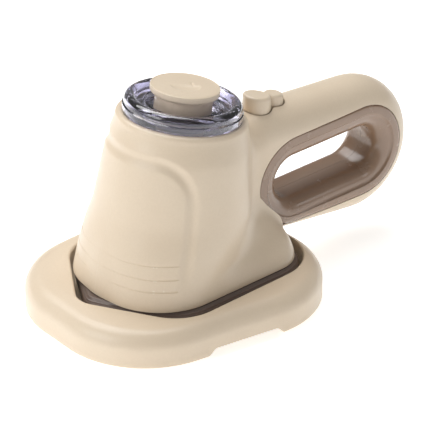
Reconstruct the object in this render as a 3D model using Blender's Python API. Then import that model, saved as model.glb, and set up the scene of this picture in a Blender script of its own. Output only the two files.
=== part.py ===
"""Handheld mini steam iron standing in its docking base.

Axes: nose of the iron towards -X, handle towards +X, +Z up, mirror plane at y = 0.
Origin: middle of the whole object's footprint, on the surface it stands on.
All lengths below are in millimetres and are turned into metres when a mesh is made.
"""

import math

import bmesh
import bpy
from mathutils import Matrix, Vector

MM = 0.001
GAP = 0.3                      # clearance between pieces that touch
BODY_X = -35.9                 # moves the design's own x (tray centred) to the origin above

# Docking base
BASE_TOP = 17.4
BASE_UNDER = 0.6
BASE_EDGE = 8.0                # radius of the soft top edge
BASE_OUTLINE = [(21.7, 15.0, 44.0), (-22.0, 10.0, 44.0)]
RECESS_OUTLINE = [(-39.5, 0.0, 12.0), (-14.0, 21.5, 22.5), (34.0, 14.0, 26.0)]
RECESS_FLOOR = 5.0
BASE_WALL = 2.6
NOTCH_FROM, NOTCH_TO, NOTCH_TOP, NOTCH_SLANT = -21.0, 20.0, 4.4, 4.0

# Sole
PAD_TOP = 6.2
SOLE_TOP = 10.0
SKIRT_TOP = 17.0
SKIRT_OUTLINE = [(-41.0, 0.0, 7.5), (-11.0, 13.0, 28.0), (35.5, 17.0, 21.0)]
SKIRT_DRAFT = 1.2
SKIRT_WALL = 3.0

# Housing: sections are (share of the height, circles), and a circle is (x, half spread, radius)
BODY_FLOOR = 17.5
SHELL = 2.3
RING_X, RING_Z, TILT = 7.05, 93.1, 0.144
SECTIONS = [
    (0.00, [(-7.0, 0.0, 37.0), (-12.0, 8.0, 31.0), (36.0, 17.5, 18.5)]),
    (0.05, [(-6.5, 0.0, 37.0), (-11.3, 7.5, 31.0), (36.2, 16.3, 18.2)]),
    (0.11, [(-5.8, 0.0, 37.0), (-10.0, 6.8, 31.4), (36.3, 15.9, 18.4)]),
    (0.18, [(-4.5, 0.0, 37.0), (-8.0, 5.5, 32.5), (36.4, 15.2, 18.5)]),
    (0.25, [(-3.0, 0.0, 36.8), (-5.6, 4.0, 33.7), (36.0, 13.0, 18.0)]),
    (0.36, [(-0.6, 0.0, 36.4), (-2.0, 1.9, 35.1), (32.0, 7.0, 16.0)]),
    (0.43, [(1.0, 0.0, 36.0), (0.5, 0.5, 35.7), (29.0, 4.3, 14.3)]),
    (0.82, [(5.0, 0.0, 33.0), (5.0, 0.0, 33.0), (25.0, 2.0, 13.0)]),
    (0.96, [(7.05, 0.0, 31.0), (7.05, 0.0, 31.0), (22.0, 2.0, 12.0)]),
    (0.985, [(7.05, 0.0, 30.2), (7.05, 0.0, 30.2), (22.0, 2.0, 11.0)]),
    (1.00, [(7.05, 0.0, 28.4), (7.05, 0.0, 28.4), (21.0, 2.0, 10.0)]),
]

# Handle: circles (x, z, radius) in the side view
HANDLE_OUTLINE = [(104.0, 47.6, 33.8), (75.0, 53.0, 29.6), (50.0, 53.5, 30.0), (52.0, 49.4, 31.0)]
HANDLE_HALF = 14.5
HANDLE_ROUND = 14.0            # how far in from the outline the pillow-shaped side rises
LOOP = [(64.3, 46.0), (104.6, 48.0)]
LOOP_FACE = 23.3               # edge of the liner's rim
LOOP_CREST = 18.8              # widest line of the rim
LOOP_INNER = 10.6              # narrowest part of the finger opening
LOOP_FLARE = 7.0               # half width of the straight stretch of the opening
LOOP_CLEAR = 0.5               # how far the opening is cut past the handle's sides
LINER_WALL = 2.6

# Filler plug and cover, along the tilted tank axis from the cover's seat
COVER_R = 28.0
PLUG_TOP = 13.6
PLUG_R = 16.0
PLUG_STEM_R = 13.3
PLUG_NECK_R = 11.4
FILLER_R = 11.9

# Steam button: two lobes
BUTTON_LOBES = [(50.6, 6.9), (60.6, 4.9)]
BUTTON_TOP = 89.4
BUTTON_SLOPE = -0.2
BUTTON_STEM = 78.5

# Cord gland under the end of the handle
GLAND_X = 104.0
GLAND_R = 5.2
GLAND_BORE = 3.2
GLAND_LOW = 14.7               # lower end, just inside the skin
GLAND_FLANGE = (5.0, 6.2)      # where the flange sits along the gland
GLAND_REACH = 7.0

# Feet of the base
FOOT_PLACES = [(-34.0, 20.0), (-34.0, -20.0), (40.0, 24.0), (40.0, -24.0)]
FOOT_R = 5.0
FOOT_TOP = 2.0

# Heater, steam chamber and what stands on its cover
HOLE_PLACES = [(-26, 11), (-12, 19), (4, 22), (20, 21)]
STEAM_HOLES = [(-36.0, 0.0)] + [(x, side * y) for x, y in HOLE_PLACES for side in (1, -1)]
STEAM_HOLE_R = 1.4
ELEMENT_Z = 14.2
ELEMENT_R = 2.6
ELEMENT_BEND, ELEMENT_REACH, ELEMENT_TAIL = 17.0, -6.0, 32.0
CHAMBER_WALL = [(-11.0, 0.0, 7.0), (2.0, 2.0, 9.0), (24.0, 3.0, 9.0)]
CHAMBER_OUTLINE = [(-27.0, 0.0, 7.0), (0.0, 8.0, 16.0), (26.0, 9.0, 15.0)]
CHAMBER_THICK = 2.4
CHAMBER_TOP = 17.0
COVER_PLATE_LOW, COVER_PLATE_HIGH = 18.6, 21.0
CHAMBER_SCREWS = [(-29.5, 0.0), (36.8, 11.0), (36.8, -11.0)]
SCREW_SHANK = 1.3
SCREW_HEAD = 2.6
STEAM_INLET = (12.0, 0.0)
STEAM_INLET_R = 1.9
THERMOSTAT_X = -2.0
FUSE_Y, FUSE_Z, FUSE_R = -13.0, 23.2, 1.7
FUSE_FROM, FUSE_TO = 2.0, 20.0

# Button spring, switch, pump, board and hoses
SPRING_X = 50.6
SPRING_LOW = 73.6
SPRING_TURNS, SPRING_R, SPRING_WIRE = 4, 3.0, 0.35
SWITCH_FROM, SWITCH_TO, SWITCH_HALF, SWITCH_LOW = 44.0, 56.8, 5.0, 70.2
PUMP_X, PUMP_Z = 30.0, 26.0
PUMP_PROFILE = [(0, 0), (7.5, 0), (7.5, 17.0), (5.0, 18.0), (5.0, 21.0), (0, 21.0)]
BOARD_FROM, BOARD_TO, BOARD_HALF = -28.6, -27.0, 11.0
BOARD_LOW, BOARD_HIGH = 23.0, 43.0
HOSE_R = 1.6
SUCTION_ROUTE = [(26.2, 9.0, 54.0), (26.0, 10.0, 46.0), (25.0, 12.0, 36.0), (25.0, 12.5, 28.0)]
DELIVERY_ROUTE = [
    (12.0, 0.0, 21.4), (12.0, 0.0, 25.0), (13.0, 3.0, 29.0), (17.0, 5.0, 33.0), (19.0, 5.0, 40.0),
]
NECK_R = 25.6                  # opening in the housing that the tank drops through

CREAM = ("cream_plastic", (0.78, 0.66, 0.52), 0.45, 0.0)
TAUPE = ("taupe_plastic", (0.27, 0.21, 0.17), 0.4, 0.0)
CLEAR = ("clear_plastic", (0.55, 0.55, 0.6), 0.08, 0.0)
ALUMINIUM = ("aluminium", (0.75, 0.75, 0.76), 0.3, 1.0)
STEEL = ("steel", (0.6, 0.6, 0.6), 0.25, 1.0)
SILICONE = ("silicone", (0.7, 0.68, 0.65), 0.6, 0.0)
RUBBER = ("rubber", (0.1, 0.09, 0.09), 0.8, 0.0)
BLACK = ("black_plastic", (0.04, 0.04, 0.045), 0.5, 0.0)
BOARD = ("circuit_board", (0.03, 0.2, 0.09), 0.5, 0.0)


def clear_scene():
    for obj in list(bpy.data.objects):
        bpy.data.objects.remove(obj)


def material(spec):
    """The named Principled material, made once."""
    name, colour, roughness, metallic = spec
    found = bpy.data.materials.get(name)
    if found:
        return found
    made = bpy.data.materials.new(name)
    made.use_nodes = True
    shader = made.node_tree.nodes["Principled BSDF"]
    shader.inputs["Base Color"].default_value = (*colour, 1.0)
    shader.inputs["Roughness"].default_value = roughness
    shader.inputs["Metallic"].default_value = metallic
    return made


def add_object(name, bm, spec, parent=None):
    """An object from a bmesh in millimetres, with its faces turned outwards."""
    bmesh.ops.recalc_face_normals(bm, faces=bm.faces)
    bmesh.ops.scale(bm, vec=(MM, MM, MM), verts=bm.verts)
    mesh = bpy.data.meshes.new(name)
    bm.to_mesh(mesh)
    bm.free()
    mesh.shade_smooth()
    mesh.set_sharp_from_angle(angle=math.radians(35))
    obj = bpy.data.objects.new(name, mesh)
    bpy.context.scene.collection.objects.link(obj)
    if spec:
        mesh.materials.append(material(spec))
    if parent:
        obj.parent = parent
    return obj


def hull(circles, count, grow=0.0):
    """Points round the convex hull of circles (u, v, radius), one for each of count directions."""
    points = []
    for step in range(count):
        angle = 2 * math.pi * (step + 0.5) / count
        nu, nv = math.cos(angle), math.sin(angle)
        best = max(circles, key=lambda c: c[0] * nu + c[1] * nv + c[2])
        reach = best[2] + grow
        points.append((best[0] + reach * nu, best[1] + reach * nv))
    return points


def mirrored(circles):
    """Plan circles (x, half spread, radius) as a list with both signs of y."""
    return [(x, side * y, r) for x, y, r in circles for side in (1, -1)]


def loft_bmesh(rings):
    """A closed solid through rings of equally many points."""
    bm = bmesh.new()
    rows = [[bm.verts.new(point) for point in ring] for ring in rings]
    count = len(rings[0])
    for low, high in zip(rows, rows[1:]):
        for i in range(count):
            j = (i + 1) % count
            bm.faces.new((low[i], low[j], high[j], high[i]))
    bm.faces.new(rows[0][::-1])
    bm.faces.new(rows[-1])
    return bm


def band_bmesh(rings):
    """A closed ring-shaped solid: the last ring joins the first."""
    bm = bmesh.new()
    rows = [[bm.verts.new(point) for point in ring] for ring in rings]
    count = len(rings[0])
    for k, low in enumerate(rows):
        high = rows[(k + 1) % len(rows)]
        for i in range(count):
            j = (i + 1) % count
            bm.faces.new((low[i], low[j], high[j], high[i]))
    return bm


def plan_ring(circles, z, count=48, grow=0.0):
    return [(x + BODY_X, y, z) for x, y in hull(mirrored(circles), count, grow)]


def plan_prism(circles, levels, count=48):
    """Solid over a plan outline: levels are (z, growth of the outline)."""
    return loft_bmesh([plan_ring(circles, z, count, grow) for z, grow in levels])


def plan_frame(circles, outer, inner, count=48):
    """Ring-shaped solid between an outer and an inner wall, each a list of (z, growth)."""
    rings = [plan_ring(circles, z, count, grow) for z, grow in outer + inner[::-1]]
    return band_bmesh(rings)


def turned(name, profile, spec, count=32, parent=None):
    """A turned piece about the local Z axis from (radius, height) points.

    A profile that starts and ends on the axis is a solid, and any other is a ring."""
    bm = bmesh.new()
    on_axis = profile[0][0] == 0
    rows = []
    for radius, height in profile:
        if radius == 0:
            rows.append([bm.verts.new((0, 0, height))])
            continue
        ring = []
        for i in range(count):
            angle = 2 * math.pi * i / count
            ring.append(bm.verts.new((radius * math.cos(angle), radius * math.sin(angle), height)))
        rows.append(ring)
    pairs = list(zip(rows, rows[1:]))
    if not on_axis:
        pairs.append((rows[-1], rows[0]))
    for low, high in pairs:
        for i in range(count):
            j = (i + 1) % count
            corners = (low[i % len(low)], low[j % len(low)], high[j % len(high)], high[i % len(high)])
            distinct = list(dict.fromkeys(corners))
            bm.faces.new(distinct)
    return add_object(name, bm, spec, parent)


def box_bmesh(low, high):
    bm = bmesh.new()
    bmesh.ops.create_cube(bm, size=1.0)
    size = [b - a for a, b in zip(low, high)]
    middle = [(a + b) / 2 for a, b in zip(low, high)]
    bmesh.ops.scale(bm, vec=size, verts=bm.verts)
    bmesh.ops.translate(bm, vec=middle, verts=bm.verts)
    return bm


def cylinder_bmesh(x, y, low, high, radius, count=20):
    ring = [(math.cos(2 * math.pi * i / count), math.sin(2 * math.pi * i / count)) for i in range(count)]
    levels = [[(x + radius * c, y + radius * s, z) for c, s in ring] for z in (low, high)]
    return loft_bmesh(levels)


def helper(name, bm):
    """A cutter, or a shape only used in a Boolean."""
    obj = add_object(name, bm, None)
    obj.hide_render = True
    obj.display_type = "WIRE"
    return obj


def combine(obj, other, operation="DIFFERENCE", solver="EXACT"):
    step = obj.modifiers.new(f"{operation.lower()} {other.name}", "BOOLEAN")
    step.operation = operation
    step.object = other
    step.solver = solver


def tube(name, points, radius, spec, resolution=2):
    """A round tube with closed ends through points in millimetres."""
    curve = bpy.data.curves.new(name, "CURVE")
    curve.dimensions = "3D"
    curve.bevel_depth = radius * MM
    curve.bevel_resolution = resolution
    curve.use_fill_caps = True
    spline = curve.splines.new("POLY")
    spline.points.add(len(points) - 1)
    for point, (x, y, z) in zip(spline.points, points):
        point.co = (x * MM, y * MM, z * MM, 1.0)
    obj = bpy.data.objects.new(name, curve)
    bpy.context.scene.collection.objects.link(obj)
    curve.materials.append(material(spec))
    return obj


def smooth_path(points, steps=5):
    """A Catmull-Rom curve through hand-set points."""
    ends = [points[0], *points, points[-1]]
    path = []
    for a, b, c, d in zip(ends, ends[1:], ends[2:], ends[3:]):
        a, b, c, d = map(Vector, (a, b, c, d))
        for k in range(steps):
            t = k / steps
            path.append(
                0.5 * (2 * b + (c - a) * t + (2 * a - 5 * b + 4 * c - d) * t**2 + (3 * b - a - 3 * c + d) * t**3)
            )
    path.append(Vector(points[-1]))
    return [tuple(p) for p in path]


# ---------------------------------------------------------------- docking base


def notch_bmesh(side):
    """Raised cut-out in the base's side wall, with slanted ends."""
    low, high = BASE_UNDER - 2.0, NOTCH_TOP
    near, far = side * 44.0, side * 75.0
    rings = []
    for y in (near, far):
        rings.append([
            (NOTCH_FROM + BODY_X, y, low),
            (NOTCH_TO + BODY_X, y, low),
            (NOTCH_TO + BODY_X, y, BASE_UNDER),
            (NOTCH_TO - NOTCH_SLANT + BODY_X, y, high),
            (NOTCH_FROM + NOTCH_SLANT + BODY_X, y, high),
            (NOTCH_FROM + BODY_X, y, BASE_UNDER),
        ])
    return loft_bmesh(rings)


def docking_base():
    """Moulded tray with a soft top edge, a well for the sole and a hollow underside."""
    levels = [(BASE_UNDER, -0.6), (BASE_UNDER + 1.0, 0.0), (BASE_TOP - BASE_EDGE, 0.0)]
    for k in range(1, 6):
        angle = math.pi / 2 * k / 5
        levels.append((
            BASE_TOP - BASE_EDGE + BASE_EDGE * math.sin(angle),
            -BASE_EDGE * (1 - math.cos(angle)),
        ))
    obj = add_object("docking_base", plan_prism(BASE_OUTLINE, levels, 64), CREAM)
    well = helper("cut_well", plan_prism(RECESS_OUTLINE, [(RECESS_FLOOR, -1.0), (BASE_TOP + 2.0, 0.2)], 64))
    combine(obj, well)
    ceiling = BASE_TOP - BASE_WALL
    outer = [(BASE_UNDER - 2.0, -BASE_WALL), (BASE_TOP - BASE_EDGE, -BASE_WALL), (ceiling, -BASE_EDGE)]
    under = helper("cut_underside", plan_prism(BASE_OUTLINE, outer, 64))
    core = helper("keep_well_wall", plan_prism(RECESS_OUTLINE, [(BASE_UNDER - 3.0, 1.6), (BASE_TOP, 2.8)], 64))
    combine(under, core)
    combine(obj, under)
    for side in (1, -1):
        combine(obj, helper(f"cut_notch_{side}", notch_bmesh(side)))
    for k, (x, y) in enumerate(FOOT_PLACES, 1):
        combine(obj, helper(f"cut_foot_{k}", cylinder_bmesh(x + BODY_X, y, -2.0, FOOT_TOP + GAP, FOOT_R + GAP)))
    return obj


def base_feet():
    for k, (x, y) in enumerate(FOOT_PLACES, 1):
        profile = [(0, 0), (FOOT_R - 0.5, 0), (FOOT_R, 0.5), (FOOT_R, FOOT_TOP), (0, FOOT_TOP)]
        foot = turned(f"base_foot_{k}", profile, RUBBER, 20)
        foot.location = ((x + BODY_X) * MM, y * MM, 0)


def rest_pad():
    """Heat-proof mat on the floor of the well."""
    levels = [(RECESS_FLOOR + GAP, -3.0), (PAD_TOP, -3.0)]
    add_object("heat_rest_pad", plan_prism(RECESS_OUTLINE, levels, 40), SILICONE)


# ---------------------------------------------------------------- sole and steam chamber


def soleplate():
    """Pressing plate with its steam holes."""
    base = PAD_TOP + GAP
    levels = [(base, -2.4), (base + 0.8, -1.2), (SOLE_TOP, -1.0)]
    obj = add_object("soleplate", plan_prism(SKIRT_OUTLINE, levels), ALUMINIUM)
    for k, (x, y) in enumerate(STEAM_HOLES, 1):
        combine(obj, helper(f"cut_steam_{k}", cylinder_bmesh(x + BODY_X, y, base - 2, SOLE_TOP + 2, STEAM_HOLE_R, 10)))


def sole_skirt():
    """Taupe frame round the sole, with a pointed toe."""
    low, high = SOLE_TOP + GAP, SKIRT_TOP
    outer = [(low, 0.0), (low + 3.0, 0.0), (high - 0.8, -SKIRT_DRAFT), (high, -SKIRT_DRAFT - 0.8)]
    inner = [(low, -SKIRT_WALL - 2.0), (high, -SKIRT_WALL - 2.0)]
    add_object("sole_skirt", plan_frame(SKIRT_OUTLINE, outer, inner), TAUPE)


def heating_element():
    """U-shaped tubular heater lying over the soleplate."""
    points = [(ELEMENT_TAIL, ELEMENT_BEND, ELEMENT_Z)]
    for k in range(13):
        angle = math.pi * k / 12
        x = ELEMENT_REACH - ELEMENT_BEND * math.sin(angle)
        points.append((x, ELEMENT_BEND * math.cos(angle), ELEMENT_Z))
    points.append((ELEMENT_TAIL, -ELEMENT_BEND, ELEMENT_Z))
    tube("heating_element", [(x + BODY_X, y, z) for x, y, z in points], ELEMENT_R, STEEL)


def chamber_parts():
    """Cast steam chamber inside the U of the heater, its gasket, cover and screws."""
    outer = [(SOLE_TOP + GAP, 0.0), (CHAMBER_TOP, 0.0)]
    inner = [(SOLE_TOP + GAP, -CHAMBER_THICK), (CHAMBER_TOP, -CHAMBER_THICK)]
    add_object("steam_chamber_wall", plan_frame(CHAMBER_WALL, outer, inner, 32), ALUMINIUM)
    low, high = CHAMBER_TOP + GAP, COVER_PLATE_LOW - GAP
    seal_outer = [(low, -0.2), (high, -0.2)]
    seal_inner = [(low, 0.2 - CHAMBER_THICK), (high, 0.2 - CHAMBER_THICK)]
    add_object("chamber_gasket", plan_frame(CHAMBER_WALL, seal_outer, seal_inner, 32), SILICONE)
    levels = [(COVER_PLATE_LOW, 0.0), (COVER_PLATE_HIGH, 0.0)]
    cover = add_object("steam_chamber_cover", plan_prism(CHAMBER_OUTLINE, levels, 32), ALUMINIUM)
    through = (COVER_PLATE_LOW - 2.0, COVER_PLATE_HIGH + 2.0)
    inlet = cylinder_bmesh(STEAM_INLET[0] + BODY_X, STEAM_INLET[1], *through, STEAM_INLET_R, 12)
    combine(cover, helper("cut_steam_inlet", inlet))
    for k, (x, y) in enumerate(CHAMBER_SCREWS, 1):
        hole = cylinder_bmesh(x + BODY_X, y, *through, SCREW_SHANK + GAP, 12)
        combine(cover, helper(f"cut_screw_{k}", hole))
        screw(f"chamber_screw_{k}", x, y, COVER_PLATE_HIGH + GAP, COVER_PLATE_HIGH - SOLE_TOP - 0.6)


def screw(name, x, y, seat, length):
    """Pan-head screw standing on its seat height, its shank pointing down."""
    profile = [
        (0, 1.6), (SCREW_HEAD * 0.6, 1.5), (SCREW_HEAD, 0.7), (SCREW_HEAD, 0),
        (SCREW_SHANK, 0), (SCREW_SHANK, -length + 1.0), (0, -length),
    ]
    obj = turned(name, profile, STEEL, 12)
    obj.location = ((x + BODY_X) * MM, y * MM, seat * MM)


def thermostat():
    """Disc thermostat on the cover, with two blade terminals' body above it."""
    profile = [(0, 0), (7.0, 0), (7.0, 2.2), (5.6, 2.4), (5.6, 7.0), (0, 7.0)]
    obj = turned("thermostat", profile, BLACK, 20)
    obj.location = ((THERMOSTAT_X + BODY_X) * MM, 0, (COVER_PLATE_HIGH + GAP) * MM)


def thermal_fuse():
    """Small axial fuse in its sleeve, beside the thermostat."""
    points = [(x + BODY_X, FUSE_Y, FUSE_Z) for x in (FUSE_FROM, FUSE_TO)]
    tube("thermal_fuse", points, FUSE_R, SILICONE)


# ---------------------------------------------------------------- housing


def deck(x):
    """Height of the tilted plane that carries the tank cover."""
    return RING_Z - math.tan(TILT) * (x - RING_X)


def body_rings(grow, first, last, count=48):
    """Rings of the body's skin, moved in by -grow, between two shares of the height."""
    rings = []
    for share, circles in SECTIONS:
        if not first <= share <= last:
            continue
        ring = []
        for x, y in hull(mirrored(circles), count, grow):
            z = BODY_FLOOR + share * (deck(x) - BODY_FLOOR)
            ring.append((x + BODY_X, y, z))
        rings.append(ring)
    return rings


def side_ring(circles, y, grow, count=44):
    return [(x + BODY_X, y, z) for x, z in hull(circles, count, grow)]


def handle_bmesh(inset, half, steps=12):
    """Pillow-sided solid over the handle's side outline."""
    rings = []
    for k in range(steps + 1):
        angle = math.pi * (k / steps - 0.5)
        drop = (HANDLE_ROUND - inset * 0.5) * (1 - math.cos(angle))
        rings.append(side_ring(HANDLE_OUTLINE, half * math.sin(angle), -inset - drop))
    return loft_bmesh(rings)


def handle_side(x, z):
    """Half width of the handle's pillow-shaped skin at a point of its side view."""
    inset = HANDLE_ROUND
    for step in range(180):
        angle = math.pi * step / 90
        nx, nz = math.cos(angle), math.sin(angle)
        reach = max(cx * nx + cz * nz + r for cx, cz, r in HANDLE_OUTLINE)
        inset = min(inset, reach - x * nx - z * nz)
    rise = 1 - max(inset, 0.0) / HANDLE_ROUND
    return HANDLE_HALF * math.sqrt(1 - rise * rise)


def loop_bmesh(radius, half):
    circles = [(x, z, radius) for x, z in LOOP]
    return loft_bmesh([side_ring(circles, y, 0.0) for y in (-half, half)])


def lobe_ring(grow, z, count=28, slope=0.0):
    """Outline of the two-lobed button, with a waist between the lobes."""
    (x1, r1), (x2, r2) = BUTTON_LOBES
    middle = (x1 + x2) / 2
    ring = []
    for k in range(count):
        angle = 2 * math.pi * (k + 0.5) / count
        c, s = math.cos(angle), math.sin(angle)
        reach = 0.0
        for x, r in ((x1, r1 + grow), (x2, r2 + grow)):
            off = x - middle
            inside = r * r - (off * s) ** 2
            if inside > 0:
                reach = max(reach, off * c + math.sqrt(inside))
        x = middle + reach * c
        ring.append((x + BODY_X, reach * s, z + slope * (x - x1)))
    return ring


def housing():
    """The cream skin as a left and a right shell that meet at the mirror plane."""
    cavity_low = [(x, y, BODY_FLOOR - 3.0) for x, y, _ in body_rings(-SHELL, 0.0, 0.0)[0]]
    cavity = [cavity_low] + body_rings(-SHELL, 0.0, 0.82)
    cavity += [plan_circle(RING_X, NECK_R, above) for above in (-6.0, 3.0)]
    inner_body = helper("cut_body_cavity", loft_bmesh(cavity))
    inner_handle = helper("cut_handle_cavity", handle_bmesh(SHELL, HANDLE_HALF - SHELL))
    outer_handle = helper("join_handle", handle_bmesh(0.0, HANDLE_HALF))
    loop = helper("cut_loop", loop_bmesh(LOOP_FACE + GAP, HANDLE_HALF + LOOP_CLEAR))
    button = helper("cut_button", loft_bmesh([lobe_ring(GAP + 0.2, z) for z in (BUTTON_STEM - 6.0, 100.0)]))
    gland = helper("cut_gland", cylinder_bmesh(GLAND_X + BODY_X, 0.0, 5.0, 24.0, GLAND_R + GAP))
    for name, side in (("left_housing", 1), ("right_housing", -1)):
        shell = add_object(name, loft_bmesh(body_rings(0.0, 0.0, 1.0)), CREAM)
        combine(shell, outer_handle, "UNION", "MANIFOLD")
        for cutter in (inner_handle, inner_body, loop, button, gland):
            combine(shell, cutter, "DIFFERENCE", "MANIFOLD")
        edges = sorted((side * GAP / 2, side * 60.0))
        half = helper(f"keep_{name}", box_bmesh((-120.0, edges[0], -10.0), (130.0, edges[1], 130.0)))
        combine(shell, half, "INTERSECT", "MANIFOLD")


def plan_circle(x, radius, above, count=48):
    """Circle square to the tank's axis, a distance above the cover's seat."""
    ring = []
    for k in range(count):
        angle = 2 * math.pi * (k + 0.5) / count
        local = Vector((radius * math.cos(angle), radius * math.sin(angle), above))
        point = Matrix.Rotation(TILT, 3, "Y") @ local
        ring.append((x + BODY_X + point.x, point.y, RING_Z + point.z))
    return ring


def liner_section():
    """(radius, share of the rim's height) round the liner's cross-section, then its back."""
    section = [(LOOP_FACE, 0.85), (LOOP_FACE, 0.98)]
    flare = HANDLE_HALF - LOOP_FLARE
    for k in range(7):
        angle = math.pi / 2 * k / 6
        radius = LOOP_CREST - (LOOP_CREST - LOOP_INNER) * math.sin(angle)
        section.append((radius, (LOOP_FLARE + flare * math.cos(angle)) / HANDLE_HALF))
    back = LOOP_INNER + LINER_WALL
    half_gap = GAP / 2 / HANDLE_HALF
    section += [(LOOP_INNER, half_gap), (back, half_gap), (back, 0.45)]
    section += [(back + 1.2, 0.62), (back + 4.2, 0.74), (LOOP_FACE - 2.0, 0.78)]
    return section


def grip_liners():
    """Taupe lining of the finger loop, in two halves, waisted towards the mirror plane."""
    centres = [(x, z, 0.0) for x, z in LOOP]
    for name, side in (("left_grip_liner", 1), ("right_grip_liner", -1)):
        rings = []
        for radius, share in liner_section():
            ring = []
            for x, _, z in side_ring(centres, 0.0, radius):
                at_rim = radius >= LOOP_CREST and share > 0.8
                half = min(handle_side(x - BODY_X, z), HANDLE_HALF) if at_rim else HANDLE_HALF
                ring.append((x, side * share * half, z))
            rings.append(ring)
        add_object(name, band_bmesh(rings), TAUPE)


# ---------------------------------------------------------------- tank, cover and plug


def tank_axis():
    """Empty on the tank's axis, level with the cover's seat."""
    axis = bpy.data.objects.new("tank_axis", None)
    bpy.context.scene.collection.objects.link(axis)
    axis.location = ((RING_X + BODY_X) * MM, 0, RING_Z * MM)
    axis.rotation_euler = (0, TILT, 0)
    return axis


def tank_parts(axis):
    turned("water_tank", [
        (0, -46.0), (20.0, -46.0), (23.5, -42.5), (24.6, -10.0), (24.6, -3.0),
        (23.2, -3.0), (23.1, -10.0), (22.0, -41.5), (19.5, -44.4), (0, -44.4),
    ], CLEAR, 40, axis)
    turned("tank_seal", [(23.3, -2.7), (24.6, -2.7), (24.6, -1.1), (23.3, -1.1)], SILICONE, 40, axis)
    turned("tank_cover", [
        (COVER_R, GAP), (COVER_R, 5.0), (27.3, 6.9), (25.8, 8.0), (24.0, 8.1), (22.4, 7.2),
        (21.2, 4.9), (18.4, 4.3), (17.6, 4.9), (16.9, 4.3), (16.4, 1.4), (FILLER_R, 1.2),
        (FILLER_R, -0.8), (18.2, -0.8), (19.0, 2.2), (22.6, 2.8), (24.0, 5.2), (25.2, 5.6),
        (25.4, GAP),
    ], CLEAR, 48, axis)


def plug_parts(axis):
    pull = bpy.data.objects.new("plug_axis", None)
    bpy.context.scene.collection.objects.link(pull)
    pull.parent = axis
    turned("filler_plug", [
        (0, PLUG_TOP), (PLUG_R - 0.7, PLUG_TOP), (PLUG_R, PLUG_TOP - 0.7), (PLUG_R, PLUG_TOP - 2.4),
        (PLUG_R - 0.6, PLUG_TOP - 3.0), (PLUG_STEM_R + 0.5, PLUG_TOP - 3.2), (PLUG_STEM_R, PLUG_TOP - 4.0),
        (PLUG_STEM_R, 1.2 + GAP), (PLUG_NECK_R, 1.2 + GAP), (PLUG_NECK_R, -2.5), (PLUG_NECK_R - 1.6, -2.5),
        (PLUG_NECK_R - 1.6, -4.7), (PLUG_NECK_R, -4.7), (PLUG_NECK_R - 0.6, -7.0), (0, -7.0),
    ], CREAM, 40, pull)
    turned("plug_seal", [
        (PLUG_NECK_R - 1.3, -2.8), (PLUG_NECK_R + 0.2, -2.8), (PLUG_NECK_R + 0.2, -4.4), (PLUG_NECK_R - 1.3, -4.4),
    ], SILICONE, 40, pull)


# ---------------------------------------------------------------- button, pump and wiring parts


def steam_button():
    """Two-lobed push button; its skirt runs down into the handle."""
    rings = [lobe_ring(-0.4, BUTTON_STEM), lobe_ring(0.0, BUTTON_STEM + 0.8)]
    rings.append(lobe_ring(-0.2, BUTTON_TOP - 2.2, slope=BUTTON_SLOPE))
    rings.append(lobe_ring(-0.9, BUTTON_TOP - 0.4, slope=BUTTON_SLOPE))
    rings.append(lobe_ring(-1.8, BUTTON_TOP, slope=BUTTON_SLOPE))
    add_object("steam_button", loft_bmesh(rings), CREAM)


def button_spring():
    """Coil spring between the switch and the button."""
    high = BUTTON_STEM - GAP - SPRING_WIRE
    points = []
    steps = 10 * SPRING_TURNS
    for k in range(steps + 1):
        angle = 2 * math.pi * k / 10
        z = SPRING_LOW + SPRING_WIRE + (high - SPRING_LOW - SPRING_WIRE) * k / steps
        x = SPRING_X + BODY_X + SPRING_R * math.cos(angle)
        points.append((x, SPRING_R * math.sin(angle), z))
    tube("button_spring", points, SPRING_WIRE, STEEL, 1)


def electrics():
    """Switch under the button, pump, control board and the bush for the cord."""
    low = (SWITCH_FROM + BODY_X, -SWITCH_HALF, SWITCH_LOW)
    high = (SWITCH_TO + BODY_X, SWITCH_HALF, SPRING_LOW - GAP)
    add_object("micro_switch", box_bmesh(low, high), BLACK)
    pump = turned("water_pump", PUMP_PROFILE, BLACK, 20)
    pump.location = ((PUMP_X + BODY_X) * MM, 0, PUMP_Z * MM)
    low = (BOARD_FROM + BODY_X, -BOARD_HALF, BOARD_LOW)
    high = (BOARD_TO + BODY_X, BOARD_HALF, BOARD_HIGH)
    add_object("circuit_board", box_bmesh(low, high), BOARD)
    flange = GLAND_R + 1.6
    gland = turned("cord_gland", [
        (GLAND_BORE, 0.0), (GLAND_R, 0.0), (GLAND_R, GLAND_FLANGE[0]), (flange, GLAND_FLANGE[0]),
        (flange, GLAND_FLANGE[1]), (GLAND_R, GLAND_FLANGE[1]), (GLAND_R, GLAND_REACH),
        (GLAND_BORE, GLAND_REACH),
    ], RUBBER, 20)
    gland.location = ((GLAND_X + BODY_X) * MM, 0, GLAND_LOW * MM)


def hoses():
    """Suction hose from the tank to the pump and delivery hose down to the steam chamber."""
    for name, points in (("suction_hose", SUCTION_ROUTE), ("delivery_hose", DELIVERY_ROUTE)):
        path = [(x + BODY_X, y, z) for x, y, z in smooth_path(points)]
        tube(name, path, HOSE_R, SILICONE)


def main():
    clear_scene()
    docking_base()
    base_feet()
    rest_pad()
    soleplate()
    sole_skirt()
    heating_element()
    chamber_parts()
    thermostat()
    thermal_fuse()
    housing()
    grip_liners()
    axis = tank_axis()
    tank_parts(axis)
    plug_parts(axis)
    steam_button()
    button_spring()
    electrics()
    hoses()


main()
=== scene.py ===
"""Looks of a handheld mini steam iron standing in its docking base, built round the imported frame.

Shapes are worked out in millimetres in the object's own frame (nose towards -X, mirror plane
y = 0) and turned into metres when a mesh is made. SHIFT moves the design's own x to the frame.
"""

import math

import bmesh
import bpy
import numpy as np
from mathutils import Matrix, Vector


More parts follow.
